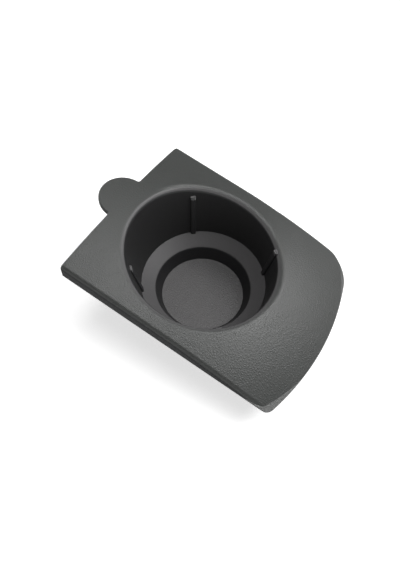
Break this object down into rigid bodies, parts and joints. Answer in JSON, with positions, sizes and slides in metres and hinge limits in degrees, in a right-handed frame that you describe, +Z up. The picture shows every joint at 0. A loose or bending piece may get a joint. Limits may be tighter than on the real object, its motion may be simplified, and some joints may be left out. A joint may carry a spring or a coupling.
{
  "type": "car cup holder",
  "caption": "One-piece moulded console insert: a sloping, crowned cover plate with a rear tab and an arched end, around a deep stepped cup with a sloping ledge and slim grip ribs.",
  "frame": {"origin": "on the cup axis, at the flat underside of the cup", "axes": "+Z up the cup axis; +X along the plate's long edges towards the arched, lower end; +Y towards the long edge that ends in the large corner radius"},
  "size_m": [0.1703, 0.1242, 0.0664],
  "materials": {
    "grained_plastic": "fine leather grain on the plate, smoother in the cup"
  },
  "bodies": {
    "root": {"cup_holder": "grained_plastic"}
  },
  "joints": []
}
